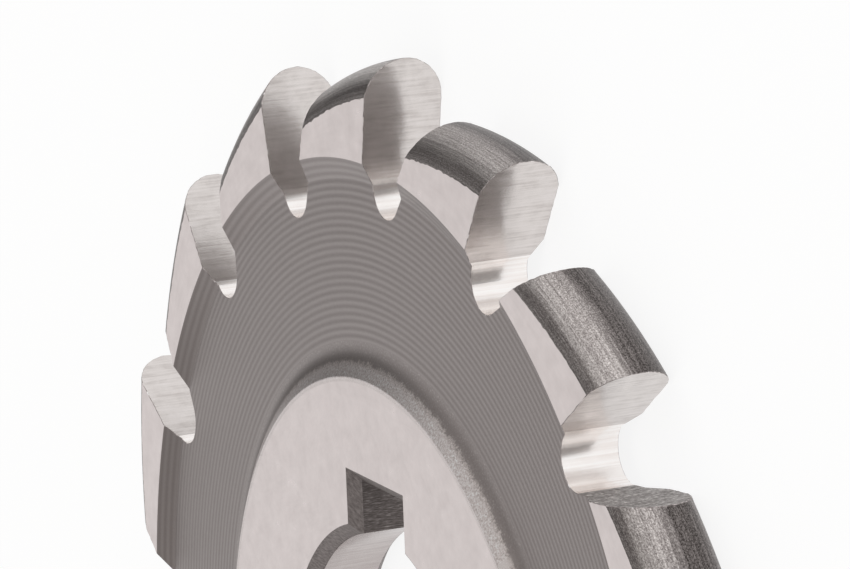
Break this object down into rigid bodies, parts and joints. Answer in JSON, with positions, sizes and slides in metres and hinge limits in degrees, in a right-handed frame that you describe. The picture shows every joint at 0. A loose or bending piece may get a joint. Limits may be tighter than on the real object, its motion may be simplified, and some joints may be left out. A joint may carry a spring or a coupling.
{
  "type": "convex radius cutter",
  "caption": "Thin disc milling cutter with form-relieved half-round teeth, rounded flutes, a turned recess, a ground hub and a keyed bore.",
  "frame": {"origin": "centre of the bore, halfway through the cutter's width", "axes": "+Z along the bore's axis, out of the face that the picture shows; +Y through the middle of the keyway"},
  "size_m": [0.05, 0.05, 0.0032],
  "materials": {
    "tool_steel": "ground hub, flanks and cutting faces, turned recess, rough relieved lands"
  },
  "bodies": {
    "root": {"cutter_body": "tool_steel"}
  },
  "joints": []
}
